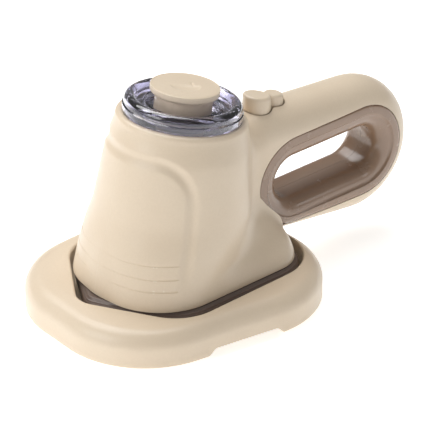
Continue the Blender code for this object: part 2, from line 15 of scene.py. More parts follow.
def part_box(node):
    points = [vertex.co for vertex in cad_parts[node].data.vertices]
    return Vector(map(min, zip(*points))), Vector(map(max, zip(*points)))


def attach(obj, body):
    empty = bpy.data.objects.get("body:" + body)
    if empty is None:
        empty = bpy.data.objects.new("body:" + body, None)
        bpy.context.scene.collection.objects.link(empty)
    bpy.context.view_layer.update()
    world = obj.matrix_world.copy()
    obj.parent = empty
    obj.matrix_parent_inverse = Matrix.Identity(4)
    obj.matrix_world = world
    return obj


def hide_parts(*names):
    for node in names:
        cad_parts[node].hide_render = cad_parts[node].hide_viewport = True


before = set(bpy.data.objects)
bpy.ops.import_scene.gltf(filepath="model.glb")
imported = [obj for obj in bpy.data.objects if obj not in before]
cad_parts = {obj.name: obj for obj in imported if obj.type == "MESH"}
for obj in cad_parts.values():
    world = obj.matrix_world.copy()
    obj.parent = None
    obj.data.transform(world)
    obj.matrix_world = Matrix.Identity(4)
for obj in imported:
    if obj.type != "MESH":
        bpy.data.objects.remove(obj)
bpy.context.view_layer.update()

MM = 0.001
GAP = 0.3
FIRST_FOOT_X = -34.0           # design x of the first foot, which the frame also holds
SHIFT = sum(corner.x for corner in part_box("base_foot_1")) / 2 / MM - FIRST_FOOT_X

# Camera: the photograph's viewing angle
AIM = (-0.0086, 0.0016, 0.0332)
AZIMUTH, ELEVATION, DISTANCE, LENS = -38.54, 28.77, 1.3556, 243.87
SENSOR, CLIP = 36.0, (0.05, 20.0)

# Studio, in metres and watts: name, place, size, power
LIGHTS = [
    ("key", (-1.10, 0.10, 0.62), 0.7, 4.6),
    ("strip", (0.55, -0.95, 0.30), 0.22, 0.4),
    ("top", (0.05, 0.45, 1.1), 1.0, 12.0),
]
FLOOR_HALF, FLOOR_GLOW, SURROUND = 3000.0, 0.62, 0.22

# Texture scales, per metre
DRIFT, SPECKLE, GLOSS, PITTING = 38.0, 900.0, 120.0, 60.0

# Fineness of the meshes
PLAN_POINTS = 192              # round a plan outline
ROUND_POINTS = 128             # round the cover and the plug
LINER_POINTS = 176             # round the finger loop
VOXEL = 0.0007
FAR = (160.0, 90.0, 150.0)     # past the whole object, for large cutters

# Docking base
BASE_TOP, BASE_UNDER, BASE_EDGE = 17.4, 0.6, 8.0
BASE_OUTLINE = [(21.7, 15.0, 44.0), (-22.0, 10.0, 44.0)]
RECESS_OUTLINE = [(-39.5, 0.0, 12.0), (-14.0, 21.5, 22.5), (34.0, 14.0, 26.0)]
RECESS_FLOOR, RECESS_LIP = 5.0, 1.4
RECESS_GROW, RECESS_DRAFT, RECESS_FOOT = 0.1, 1.6, 0.6
BASE_WALL, RECESS_WALL = 2.6, (1.6, 2.8)
BASE_FOOT = [(0.0, -0.9), (0.3, -0.4), (1.0, 0.0)]     # height over the underside, growth
NOTCH_FROM, NOTCH_TO, NOTCH_TOP, NOTCH_SLANT = -21.0, 20.0, 4.4, 4.0
NOTCH_ROUND, NOTCH_SPAN = 1.2, (44.0, 75.0)
FOOT_PLACES = [(-34.0, 20.0), (-34.0, -20.0), (40.0, 24.0), (40.0, -24.0)]
FOOT_HOLE_R, FOOT_HOLE_TOP = 5.3, 2.3

# Sole skirt
SKIRT_LOW, SKIRT_TOP = 10.3, 17.0
SKIRT_OUTLINE = [(-41.0, 0.0, 7.5), (-11.0, 13.0, 28.0), (35.5, 17.0, 21.0)]
SKIRT_SIDE = [(0.0, 0.0), (4.4, -0.15), (4.9, -0.8), (5.4, -0.8), (5.6, -1.4)]  # height, growth
SKIRT_LEAN, SKIRT_WIDTH, SKIRT_ROUND = -2.0, -5.0, 0.35

# Housing: (share of the height, three circles), a circle being x, half spread, radius
BODY_FLOOR, SHELL = 17.5, 2.3
RING_X, RING_Z, TILT = 7.05, 93.1, 0.144
SECTIONS = [
    (-0.06, (-7.0, 0.0, 37.0), (-12.0, 8.0, 31.0), (36.0, 17.5, 18.5)),
    (0.00, (-7.0, 0.0, 37.0), (-12.0, 8.0, 31.0), (36.0, 17.5, 18.5)),
    (0.05, (-6.5, 0.0, 37.0), (-11.3, 7.5, 31.0), (36.2, 16.3, 18.2)),
    (0.11, (-5.8, 0.0, 37.0), (-10.0, 6.8, 31.4), (36.0, 14.0, 17.6)),
    (0.18, (-4.5, 0.0, 37.0), (-8.0, 5.5, 32.5), (34.4, 9.2, 16.5)),
    (0.30, (-2.0, 0.0, 36.7), (-4.0, 3.0, 34.5), (30.2, 4.2, 15.0)),
    (0.43, (1.0, 0.0, 36.0), (0.5, 0.5, 35.7), (26.2, 3.0, 13.2)),
    (0.82, (5.0, 0.0, 33.0), (5.0, 0.0, 33.0), (25.0, 2.0, 13.0)),
    (0.96, (6.8, 0.0, 30.3), (6.8, 0.0, 30.3), (22.0, 2.0, 12.0)),
    (1.06, (6.8, 0.0, 29.8), (6.8, 0.0, 29.8), (21.0, 2.0, 11.0)),
]
SHOULDER = 2.0                 # radius of the body's top edge
WEB_FILLET = 7.0               # how softly the body runs into the handle
SMOOTH_STEPS, SMOOTH_WINDOW = 401, 41
LOFT_FLOOR, CAVITY_TOP = -0.05, 0.86
BODY_AXIS = [(17.5, -6.0), (50.0, 1.0), (93.0, 7.0)]   # height, x of the body's middle
NECK_R, NECK_SPAN = 25.6, (-14.0, 6.0)
PARTING = 0.015                # half the gap between the housing's halves

# Handle: circles (x, z, radius) in the side view, in order round the outline
HANDLE_OUTLINE = [(104.0, 47.6, 33.8), (75.0, 53.0, 29.6), (50.0, 53.5, 30.0), (52.0, 49.4, 31.0)]
HANDLE_HALF, HANDLE_ROUND = 14.5, 14.0
LOOP = [(64.3, 46.0), (104.6, 48.0)]
LOOP_FACE, LOOP_CREST, LOOP_INNER, LOOP_FLARE = 23.3, 18.8, 10.6, 7.0
LOOP_GAP, LOOP_CUT = 0.12, 15.0
# Grip liner: steps inwards from the rim's edge or crest, and how proud of the handle's side
LINER_WALL, LINER_PROUD, LINER_MEET = 2.6, 0.02, 0.06
RIM_EDGE = [(0.0, -2.0), (0.0, -0.45), (0.12, -0.2), (0.4, -0.1)]
RIM_CREST = [(-0.25, LINER_PROUD), (0.05, -0.12), (0.3, -0.5)]
RIM_FLAT, TUNNEL_DROP, TUNNEL_EDGE = 4.0, 0.4, 0.9
LINER_BACK = [(0.0, 6.5), (1.2, 9.0), (4.2, 10.7)]     # outwards from the back, half width
LINER_HEEL = (2.0, 11.3)

# Arch pressed into the nose, in the unrolled skin (arc length from the nose line, height)
ARCH_HALF, ARCH_TOP, ARCH_CORNER = 38.5, 82.6, 19.0
ARCH_WIDE, ARCH_DEEP = 3.6, 1.0
ARCH_FADE_LOW, ARCH_FADE_HIGH = 24.0, 40.0
ARCH_RADIUS, ARCH_TILT = 34.0, 0.35
# Fine lines round the nose
LINE_HEIGHTS = (38.6, 32.4, 26.8)
LINE_REACH, LINE_R = math.radians(61.0), 0.45
LINE_START, LINE_STEPS, LINE_SIDES = 38.0, 121, 8
LINE_LIFT, LINE_FADE = 0.16, 0.26

# Cover: (radius, height over its seat), with the bulge as half an ellipse between
COVER_FOOT = [(27.7, 0.3), (27.7, 3.4), (27.1, 3.9), (27.3, 4.5)]
BULGE_R, BULGE_ABOVE, BULGE_WIDE, BULGE_HIGH, BULGE_STEPS = 24.3, 4.9, 3.0, 3.2, 14
COVER_INSIDE = [
    (21.1, 4.6), (18.6, 4.1), (18.3, 5.0), (17.7, 5.6), (17.1, 5.0), (16.8, 4.0), (16.4, 1.5),
    (12.1, 1.2), (11.9, 1.0), (11.9, -0.8), (18.2, -0.8), (19.0, 2.2), (22.6, 2.6), (24.0, 4.9),
    (25.2, 5.3), (25.6, 0.3),
]

# Filler plug, along the tilted axis from the cover's seat
PLUG_TOP, PLUG_R, PLUG_STEM_R, PLUG_NECK_R = 13.6, 16.0, 13.3, 11.4
PLUG_SIDE = [
    (PLUG_R * 0.94, PLUG_TOP), (PLUG_R, PLUG_TOP), (PLUG_R, PLUG_TOP - 3.0),
    (PLUG_STEM_R + 0.4, PLUG_TOP - 3.2), (PLUG_STEM_R, PLUG_TOP - 4.2), (PLUG_STEM_R, 1.5),
    (PLUG_NECK_R, 1.5), (PLUG_NECK_R, -2.5), (PLUG_NECK_R - 1.6, -2.5), (PLUG_NECK_R - 1.6, -4.7),
    (PLUG_NECK_R, -4.7), (PLUG_NECK_R - 0.6, -7.0), (2.0, -7.0),
]
PLUG_ROUND, PLUG_DISC, PLUG_RINGS = 0.8, 0.93, 40
DISH_R, DISH_DEEP, MARKED_R = 7.0, 0.75, 12.0
MARK_AT, MARK_WAY, MARK_HALF, MARK_WIDE, MARK_DEEP = (3.4, -1.6), (0.35, 0.94), 3.4, 0.45, 0.45

# Steam button
BUTTON_LOBES = [(50.6, 6.9), (60.6, 4.9)]
BUTTON_TOP, BUTTON_SLOPE, BUTTON_STEM = 89.4, -0.2, 78.5
BUTTON_WAIST, BUTTON_DRAFT, BUTTON_EDGE, BUTTON_CROWN = 4.5, 0.35, 1.5, 0.25
BUTTON_CHAMFER, BUTTON_HOLE = (0.4, 0.8), (72.5, 100.0)

# Cord gland's hole under the handle
GLAND_X, GLAND_HOLE_R, GLAND_HOLE = 104.0, 5.5, (5.0, 24.0)


# ---------------------------------------------------------------- materials


def new_material(name, **settings):
    """A Principled material with constant settings, and its nodes to add to."""
    made = bpy.data.materials.new(name)
    made.use_nodes = True
    shader = made.node_tree.nodes["Principled BSDF"]
    for socket, value in settings.items():
        shader.inputs[socket.replace("_", " ")].default_value = value
    return made, made.node_tree, shader


def noise(tree, scale, detail=3.0, roughness=0.55):
    """Noise over the object's own coordinates; scale is per metre."""
    where = tree.nodes.new("ShaderNodeTexCoord")
    texture = tree.nodes.new("ShaderNodeTexNoise")
    texture.inputs["Scale"].default_value = scale
    texture.inputs["Detail"].default_value = detail
    texture.inputs["Roughness"].default_value = roughness
    tree.links.new(where.outputs["Object"], texture.inputs["Vector"])
    return texture.outputs["Fac"]


def spread(tree, value, low, high, start=0.3, end=0.7):
    """value, remapped from start..end to low..high."""
    remap = tree.nodes.new("ShaderNodeMapRange")
    for socket, number in zip(("From Min", "From Max", "To Min", "To Max"), (start, end, low, high)):
        remap.inputs[socket].default_value = number
    tree.links.new(value, remap.inputs["Value"])
    return remap.outputs["Result"]


def mix(tree, factor, first, second):
    """Colour between two colours; each may be a colour or another node's output."""
    blend = tree.nodes.new("ShaderNodeMix")
    blend.data_type = "RGBA"
    tree.links.new(factor, blend.inputs["Factor"])
    for socket, colour in ((blend.inputs[6], first), (blend.inputs[7], second)):
        if isinstance(colour, tuple):
            socket.default_value = (*colour, 1.0)
        else:
            tree.links.new(colour, socket)
    return blend.outputs[2]


def bump(tree, shader, height, distance):
    """Fine relief on the shader's normal; distance is in metres."""
    node = tree.nodes.new("ShaderNodeBump")
    node.inputs["Distance"].default_value = distance
    tree.links.new(height, node.inputs["Height"])
    tree.links.new(node.outputs["Normal"], shader.inputs["Normal"])


def edge_wear(tree, low, high):
    """0 on even surfaces and 1 on worn, outward edges."""
    geometry = tree.nodes.new("ShaderNodeNewGeometry")
    return spread(tree, geometry.outputs["Pointiness"], 0.0, 1.0, low, high)


def moulded(name, colour, second, worn, rough, grain, depth, **settings):
    """Moulded plastic: fine grain, slow drift of tint, uneven gloss and paler edges."""
    made, tree, shader = new_material(name, **settings)
    drift = spread(tree, noise(tree, DRIFT, 2.0), 0.0, 1.0)
    speckle = spread(tree, noise(tree, SPECKLE, 2.0), 0.0, 0.35)
    base = mix(tree, drift, colour, second)
    base = mix(tree, speckle, base, tuple(c * 0.94 for c in colour))
    base = mix(tree, edge_wear(tree, 0.53, 0.62), base, worn)
    tree.links.new(base, shader.inputs["Base Color"])
    gloss = spread(tree, noise(tree, GLOSS, 4.0), rough - 0.05, rough + 0.06)
    tree.links.new(gloss, shader.inputs["Roughness"])
    bump(tree, shader, noise(tree, grain, 3.0), depth)
    return made


def metal(name, colour, dark, rough, scale, stretch):
    """Metal with a brushed or cast grain: stretch is how drawn-out the grain is along each axis."""
    made, tree, shader = new_material(name, Metallic=1.0)
    where = tree.nodes.new("ShaderNodeTexCoord")
    drawn = tree.nodes.new("ShaderNodeMapping")
    drawn.inputs["Scale"].default_value = stretch
    grain = tree.nodes.new("ShaderNodeTexNoise")
    grain.inputs["Scale"].default_value = scale
    grain.inputs["Detail"].default_value = 4.0
    tree.links.new(where.outputs["Object"], drawn.inputs["Vector"])
    tree.links.new(drawn.outputs["Vector"], grain.inputs["Vector"])
    base = mix(tree, spread(tree, noise(tree, PITTING), 0.0, 1.0), colour, dark)
    tree.links.new(base, shader.inputs["Base Color"])
    gloss = spread(tree, grain.outputs["Fac"], rough - 0.08, rough + 0.12)
    tree.links.new(gloss, shader.inputs["Roughness"])
    bump(tree, shader, grain.outputs["Fac"], 0.00002)
    return made


def smoked_plastic(name, colour, second, transmission):
    """Clear tinted plastic with faint flow marks and uneven gloss."""
    made, tree, shader = new_material(
        name,
        IOR=1.49,
        Transmission_Weight=transmission,
        Coat_Weight=1.0,
        Coat_Roughness=0.02,
    )
    drift = spread(tree, noise(tree, 55.0, 2.0), 0.0, 1.0)
    tree.links.new(mix(tree, drift, colour, second), shader.inputs["Base Color"])
    tree.links.new(spread(tree, noise(tree, 260.0, 4.0), 0.03, 0.10), shader.inputs["Roughness"])
    bump(tree, shader, noise(tree, 90.0, 1.0), 0.00004)
    return made


def board_material():
    """Green board with copper traces under the varnish."""
    made, tree, shader = new_material("circuit_board_look", Coat_Weight=0.4)
    where = tree.nodes.new("ShaderNodeTexCoord")
    brick = tree.nodes.new("ShaderNodeTexBrick")
    brick.inputs["Scale"].default_value = 260.0
    brick.inputs["Mortar Size"].default_value = 0.03
    tree.links.new(where.outputs["Object"], brick.inputs["Vector"])
    base = mix(tree, brick.outputs["Fac"], (0.02, 0.13, 0.05), (0.12, 0.28, 0.08))
    tree.links.new(base, shader.inputs["Base Color"])
    tree.links.new(spread(tree, noise(tree, 300.0), 0.3, 0.5), shader.inputs["Roughness"])
    bump(tree, shader, brick.outputs["Fac"], 0.00005)
    return made


CREAM = moulded(
    "cream_plastic_look", (0.775, 0.640, 0.480), (0.80, 0.67, 0.51), (0.86, 0.76, 0.62),
    0.36, 2600.0, 0.000012, Coat_Weight=0.12, Coat_Roughness=0.22,
)
TAUPE = moulded(
    "taupe_plastic_look", (0.30, 0.195, 0.130), (0.34, 0.225, 0.15), (0.44, 0.33, 0.25),
    0.24, 1900.0, 0.000008, Coat_Weight=0.5, Coat_Roughness=0.10,
)
SKIRT = moulded(
    "skirt_plastic_look", (0.15, 0.108, 0.088), (0.18, 0.13, 0.106), (0.32, 0.26, 0.22),
    0.34, 1900.0, 0.000012, Coat_Weight=0.1,
)
SMOKE = smoked_plastic("cover_plastic_look", (0.80, 0.78, 0.92), (0.72, 0.70, 0.86), 1.0)
TANK = smoked_plastic("tank_plastic_look", (0.16, 0.15, 0.18), (0.11, 0.105, 0.13), 0.35)
ALUMINIUM = metal("aluminium_look", (0.80, 0.80, 0.81), (0.66, 0.66, 0.68), 0.32, 900.0, (1.0, 9.0, 9.0))
CAST = metal("cast_aluminium_look", (0.62, 0.62, 0.63), (0.50, 0.50, 0.52), 0.5, 1400.0, (1.0, 1.0, 1.0))
STEEL = metal("steel_look", (0.58, 0.57, 0.56), (0.42, 0.42, 0.43), 0.25, 1500.0, (1.0, 4.0, 1.0))
SILICONE = moulded(
    "silicone_look", (0.42, 0.39, 0.36), (0.46, 0.43, 0.40), (0.55, 0.52, 0.49),
    0.55, 1500.0, 0.00002,
)
RUBBER = moulded(
    "rubber_look", (0.035, 0.032, 0.032), (0.05, 0.045, 0.045), (0.12, 0.11, 0.11),
    0.75, 1700.0, 0.00004,
)
BLACK = moulded(
    "black_plastic_look", (0.03, 0.03, 0.033), (0.04, 0.04, 0.045), (0.11, 0.11, 0.12),
    0.45, 1700.0, 0.00002,
)
BOARD = board_material()


# ---------------------------------------------------------------- mesh helpers


def add_object(name, bm, look=None, smooth_angle=35.0):
    """An object from a bmesh in millimetres, with its faces turned outwards."""
    bmesh.ops.recalc_face_normals(bm, faces=bm.faces)
    bmesh.ops.scale(bm, vec=(MM, MM, MM), verts=bm.verts)
    mesh = bpy.data.meshes.new(name)
    bm.to_mesh(mesh)
    bm.free()
    mesh.shade_smooth()
    mesh.set_sharp_from_angle(angle=math.radians(smooth_angle))
    obj = bpy.data.objects.new(name, mesh)
    bpy.context.scene.collection.objects.link(obj)
    if look:
        mesh.materials.append(look)
    return obj


def piece(obj, body, slot, *nodes):
    """The object rides on a body and stands for its CAD nodes."""
    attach(obj, body)
    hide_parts(*nodes)
    return obj


def hull(circles, count, grow=0.0):
    """Points round the convex hull of circles (u, v, radius), evenly spaced along it."""
    fine = []
    for step in range(count * 8):
        angle = 2 * math.pi * step / (count * 8)
        nu, nv = math.cos(angle), math.sin(angle)
        best = max(circles, key=lambda c: c[0] * nu + c[1] * nv + c[2])
        fine.append((best[0] + (best[2] + grow) * nu, best[1] + (best[2] + grow) * nv))
    line = np.array(fine + fine[:1])
    lengths = np.concatenate([[0.0], np.cumsum(np.hypot(*np.diff(line, axis=0).T))])
    wanted = np.linspace(0.0, lengths[-1], count, endpoint=False)
    return list(zip(np.interp(wanted, lengths, line[:, 0]), np.interp(wanted, lengths, line[:, 1])))


def mirrored(circles):
    """Plan circles (x, half spread, radius) as a list with both signs of y."""
    return [(x, side * y, r) for x, y, r in circles for side in (1, -1)]


def plan_ring(circles, z, grow=0.0, count=PLAN_POINTS):
    """Ring at a height, round plan circles."""
    return [(x + SHIFT, y, z) for x, y in hull(mirrored(circles), count, grow)]


def side_ring(circles, y, grow, count):
    """Ring at a distance y from the mirror plane, round circles of the side view."""
    return [(x + SHIFT, y, z) for x, z in hull(circles, count, grow)]


def skin_bmesh(rings, closed=False):
    """A solid through rings of equally many points: capped, or closed round like a frame."""
    bm = bmesh.new()
    rows = [[bm.verts.new(point) for point in ring] for ring in rings]
    count = len(rings[0])
    pairs = list(zip(rows, rows[1:]))
    if closed:
        pairs.append((rows[-1], rows[0]))
    for low, high in pairs:
        for i in range(count):
            j = (i + 1) % count
            bm.faces.new((low[i], low[j], high[j], high[i]))
    if not closed:
        bm.faces.new(rows[0][::-1])
        bm.faces.new(rows[-1])
    return bm


def rounded(corners, radius, steps=5):
    """A closed profile with every corner rounded by a small curve."""
    points = []
    count = len(corners)
    for i, corner in enumerate(corners):
        here = Vector(corner)
        back = Vector(corners[i - 1]) - here
        ahead = Vector(corners[(i + 1) % count]) - here
        reach = min(radius, back.length * 0.45, ahead.length * 0.45)
        start = here + back.normalized() * reach
        end = here + ahead.normalized() * reach
        for k in range(steps + 1):
            t = k / steps
            points.append((1 - t) ** 2 * start + 2 * t * (1 - t) * here + t**2 * end)
    return [tuple(p) for p in points]


def box_bmesh(low, high):
    """Box between two corners."""
    bm = bmesh.new()
    bmesh.ops.create_cube(bm, size=1.0)
    bmesh.ops.scale(bm, vec=[b - a for a, b in zip(low, high)], verts=bm.verts)
    bmesh.ops.translate(bm, vec=[(a + b) / 2 for a, b in zip(low, high)], verts=bm.verts)
    return bm


def cylinder_bmesh(x, y, low, high, radius, count=48):
    """Upright cylinder between two heights."""
    turns = [2 * math.pi * i / count for i in range(count)]
    ring = [(x + radius * math.cos(a), y + radius * math.sin(a)) for a in turns]
    return skin_bmesh([[(u, v, z) for u, v in ring] for z in (low, high)])


def seat_point(x, y, above):
    """Point in the tilted frame of the tank cover's seat, as a point of the object."""
    local = Matrix.Rotation(TILT, 3, "Y") @ Vector((x, y, above))
    return (RING_X + SHIFT + local.x, local.y, RING_Z + local.z)


def seat_ring(radius, above, count=ROUND_POINTS):
    """Ring round the seat's axis."""
    angles = [2 * math.pi * k / count for k in range(count)]
    return [seat_point(radius * math.cos(a), radius * math.sin(a), above) for a in angles]


def freeze(obj):
    """Replaces the object's mesh by its evaluated mesh."""
    graph = bpy.context.evaluated_depsgraph_get()
    mesh = bpy.data.meshes.new_from_object(obj.evaluated_get(graph))
    obj.modifiers.clear()
    obj.data = mesh


def cut(obj, *cutters, operation="DIFFERENCE", solver="MANIFOLD"):
    """Takes the cutters (bmeshes) away from the object, for good."""
    for bm in cutters:
        other = add_object("cutter", bm)
        step = obj.modifiers.new("cut", "BOOLEAN")
        step.operation = operation
        step.object = other
        step.solver = solver
        freeze(obj)
        bpy.data.objects.remove(other)


def finish_shading(obj, look, angle=35.0):
    """One material, smooth faces and sharp edges above the angle."""
    obj.data.materials.clear()
    obj.data.materials.append(look)
    obj.data.shade_smooth()
    obj.data.set_sharp_from_angle(angle=math.radians(angle))


# ---------------------------------------------------------------- docking base and sole


def base_profile():
    """(height, growth) up the outside: foot edge, wall and the soft top edge."""
    levels = [(BASE_UNDER + height, grow) for height, grow in BASE_FOOT]
    foot, wall_top = levels[-1][0], BASE_TOP - BASE_EDGE
    levels += [(foot + k * (wall_top - foot) / 4, 0.0) for k in range(1, 5)]
    for k in range(1, 17):
        angle = math.pi / 2 * k / 16
        levels.append((wall_top + BASE_EDGE * math.sin(angle), -BASE_EDGE * (1 - math.cos(angle))))
    return levels


def recess_bmesh():
    """Cutter for the recess: drafted wall, and a lip that rounds outwards."""
    lip_foot = BASE_TOP - RECESS_LIP
    levels = [
        (RECESS_FLOOR, -RECESS_DRAFT),
        (RECESS_FLOOR + RECESS_FOOT, RECESS_FOOT - RECESS_DRAFT),
        (lip_foot, RECESS_GROW),
    ]
    for k in range(1, 7):
        angle = math.pi / 2 * k / 6
        out = RECESS_LIP * (1 - math.cos(angle))
        levels.append((lip_foot + RECESS_LIP * math.sin(angle), RECESS_GROW + out))
    levels.append((BASE_TOP + 1.0, RECESS_GROW + RECESS_LIP + 1.0))
    return skin_bmesh([plan_ring(RECESS_OUTLINE, z, grow) for z, grow in levels])


def underside_bmesh():
    """Cutter for the hollow under the tray, round the wall of the recess."""
    levels = [
        (BASE_UNDER - 2.0, -BASE_WALL),
        (BASE_TOP - BASE_EDGE, -BASE_WALL),
        (BASE_TOP - BASE_WALL, -BASE_EDGE),
    ]
    rings = [plan_ring(BASE_OUTLINE, z, grow) for z, grow in levels]
    hollow = add_object("hollow", skin_bmesh(rings))
    core = zip((BASE_UNDER - 3.0, BASE_TOP), RECESS_WALL)
    cut(hollow, skin_bmesh([plan_ring(RECESS_OUTLINE, z, grow) for z, grow in core]))
    bm = bmesh.new()
    bm.from_mesh(hollow.data)
    bmesh.ops.scale(bm, vec=(1 / MM,) * 3, verts=bm.verts)
    bpy.data.objects.remove(hollow)
    return bm


def notch_bmesh(side):
    """Cutter for the finger notch in one side of the base's lower edge."""
    low = BASE_UNDER - 2.0
    corners = [
        (NOTCH_TO, low), (NOTCH_TO, BASE_UNDER), (NOTCH_TO - NOTCH_SLANT, NOTCH_TOP),
        (NOTCH_FROM + NOTCH_SLANT, NOTCH_TOP), (NOTCH_FROM, BASE_UNDER), (NOTCH_FROM, low),
    ]
    outline = rounded(corners, NOTCH_ROUND, 4)
    return skin_bmesh([[(x + SHIFT, side * y, z) for x, z in outline] for y in NOTCH_SPAN])


def docking_base():
    """Tray with a soft top edge, a rounded lip round the recess and a hollow underside."""
    rings = [plan_ring(BASE_OUTLINE, z, grow) for z, grow in base_profile()]
    obj = add_object("docking_base_look", skin_bmesh(rings))
    holes = [
        cylinder_bmesh(x + SHIFT, y, -2.0, FOOT_HOLE_TOP, FOOT_HOLE_R) for x, y in FOOT_PLACES
    ]
    cut(obj, recess_bmesh(), underside_bmesh(), notch_bmesh(1), notch_bmesh(-1), *holes)
    finish_shading(obj, CREAM, 40.0)
    piece(obj, "base", "cream_plastic", "docking_base")


def sole_skirt():
    """Frame round the sole with a rounded lower edge, a shadow step and a pointed toe."""
    section = [(SKIRT_LOW + height, grow) for height, grow in SKIRT_SIDE]
    section += [(SKIRT_TOP, SKIRT_LEAN), (SKIRT_TOP, SKIRT_WIDTH), (SKIRT_LOW, SKIRT_WIDTH)]
    rings = [plan_ring(SKIRT_OUTLINE, z, grow) for z, grow in rounded(section, SKIRT_ROUND, 3)]
    obj = add_object("sole_skirt_look", skin_bmesh(rings, closed=True), SKIRT)
    piece(obj, "iron", "taupe_plastic", "sole_skirt")


# ---------------------------------------------------------------- housing as one smooth field


def deck(x):
    """Height of the body's slanting top over x."""
    return RING_Z - math.tan(TILT) * (x - RING_X)


def section_circles(share):
    """The three plan circles at each share of the height, smoothed along the height."""
    knots = np.array([s for s, *_ in SECTIONS])
    fine = np.linspace(knots[0], knots[-1], SMOOTH_STEPS)
    kernel = np.hanning(SMOOTH_WINDOW)
    kernel /= kernel.sum()
    circles = []
    for which in range(3):
        values = []
        for part in range(3):
            line = np.interp(fine, knots, [row[1 + which][part] for row in SECTIONS])
            padded = np.pad(line, SMOOTH_WINDOW // 2, mode="edge")
            values.append(np.interp(share, fine, np.convolve(padded, kernel, mode="valid")))
        circles.append(values)
    return circles


def capsule(px, py, a, b):
    """Distance in a plane to the hull of two circles (x, y, radius), any of them arrays."""
    dx, dy = b[0] - a[0] + 1e-6, b[1] - a[1]
    length = np.hypot(dx, dy)
    ux, uy = dx / length, dy / length
    along = (px - a[0]) * ux + (py - a[1]) * uy
    across = np.abs((py - a[1]) * ux - (px - a[0]) * uy)
    lean = np.clip((a[2] - b[2]) / length, -0.999, 0.999)
    side = np.sqrt(1 - lean**2)
    k = side * along - lean * across
    start = np.hypot(along, across) - a[2]
    end = np.hypot(along - length, across) - b[2]
    flat = side * across + lean * along - a[2]
    return np.where(k < 0, start, np.where(k > side * length, end, flat))


def body_field(p):
    """Signed distance (in the plan) to the body's skin, with the rounded shoulder at the top."""
    x, y, z = p[:, 0], np.abs(p[:, 1]), p[:, 2]
    share = (z - BODY_FLOOR) / (deck(x) - BODY_FLOOR)
    nose, middle, rear = section_circles(share)
    mirror_rear = [rear[0], -rear[1], rear[2]]
    wall = capsule(x, y, nose, middle)
    for pair in ((middle, rear), (rear, mirror_rear), (nose, rear)):
        wall = np.minimum(wall, capsule(x, y, *pair))
    top = (z - deck(x)) * math.cos(TILT)
    a, b = wall + SHOULDER, top + SHOULDER
    outside = np.hypot(np.maximum(a, 0), np.maximum(b, 0))
    return np.minimum(np.maximum(a, b), 0) + outside - SHOULDER


def handle_outline(x, z):
    """Signed distance to the handle's outline in the side view."""
    pairs = zip(HANDLE_OUTLINE, HANDLE_OUTLINE[1:] + HANDLE_OUTLINE[:1])
    return np.minimum.reduce([capsule(x, z, a, b) for a, b in pairs])


def handle_field(p):
    """Signed distance to the pillow-sided handle."""
    x, y, z = p[:, 0], np.abs(p[:, 1]), p[:, 2]
    u = np.maximum(handle_outline(x, z) + HANDLE_ROUND, 0) / HANDLE_ROUND
    v = y / HANDLE_HALF
    g = np.maximum(np.hypot(u, v), 1e-6)
    slope = np.hypot(u / HANDLE_ROUND, v / HANDLE_HALF) / g
    return (g - 1) / np.maximum(slope, 1e-6)


def field(p):
    """Body and handle joined with a soft fillet."""
    a, b = body_field(p), handle_field(p)
    h = np.maximum(WEB_FILLET - np.abs(a - b), 0) / WEB_FILLET
    return np.minimum(a, b) - h * h * WEB_FILLET / 4


def gradient(p, step=0.05):
    """Slope of the field at points."""
    parts = []
    for axis in range(3):
        move = np.zeros(3)
        move[axis] = step
        parts.append((field(p + move) - field(p - move)) / (2 * step))
    return np.stack(parts, axis=1)


def settle(p, rounds=5):
    """Moves points onto the skin along its slope."""
    for _ in range(rounds):
        slope = gradient(p)
        size = np.maximum((slope**2).sum(axis=1), 0.05)
        step = np.clip(field(p) / size, -1.5, 1.5)
        p = p - step[:, None] * slope
    return p


def body_axis(z):
    """Middle of the round body at a height."""
    return np.interp(z, *zip(*BODY_AXIS))


def arch_depth(p):
    """How deep the nose arch is pressed in at each point."""
    x, y, z = p[:, 0], p[:, 1], p[:, 2]
    angle = np.arctan2(np.abs(y), -(x - body_axis(z)))
    s = angle * ARCH_RADIUS
    height = z + math.tan(TILT) * (x - RING_X) * ARCH_TILT
    qx = s - (ARCH_HALF - ARCH_CORNER)
    qz = height - (ARCH_TOP - ARCH_CORNER)
    away = np.hypot(np.maximum(qx, 0), np.maximum(qz, 0)) + np.minimum(np.maximum(qx, qz), 0)
    away = away - ARCH_CORNER
    t = np.clip(np.abs(away) / ARCH_WIDE, 0, 1)
    valley = (1 - t * t) ** 2
    fade = np.clip((z - ARCH_FADE_LOW) / (ARCH_FADE_HIGH - ARCH_FADE_LOW), 0, 1)
    fade = fade * fade * (3 - 2 * fade)
    return ARCH_DEEP * valley * fade


def line_bmesh(height):
    """Thin tube that cuts one of the fine lines round the nose, shallower at the middle."""
    angles = np.linspace(-LINE_REACH, LINE_REACH, LINE_STEPS)
    along = float(body_axis(height)) - LINE_START * np.cos(angles)
    start = [along, LINE_START * np.sin(angles), np.full_like(angles, height)]
    on_skin = settle(np.stack(start, axis=1), 6)
    on_skin[:, 2] = height
    slope = gradient(on_skin)
    slope[:, 2] = 0
    slope /= np.linalg.norm(slope, axis=1)[:, None]
    lift = LINE_LIFT + LINE_FADE * np.sqrt(1 - np.abs(angles) / LINE_REACH)
    path = on_skin + slope * lift[:, None]
    rings = []
    for (x, y, z), out in zip(path, slope):
        ring = []
        for k in range(LINE_SIDES):
            turn = 2 * math.pi * k / LINE_SIDES
            reach, rise = LINE_R * math.cos(turn), LINE_R * math.sin(turn)
            ring.append((x + out[0] * reach + SHIFT, y + out[1] * reach, z + rise))
        rings.append(ring)
    return skin_bmesh(rings)


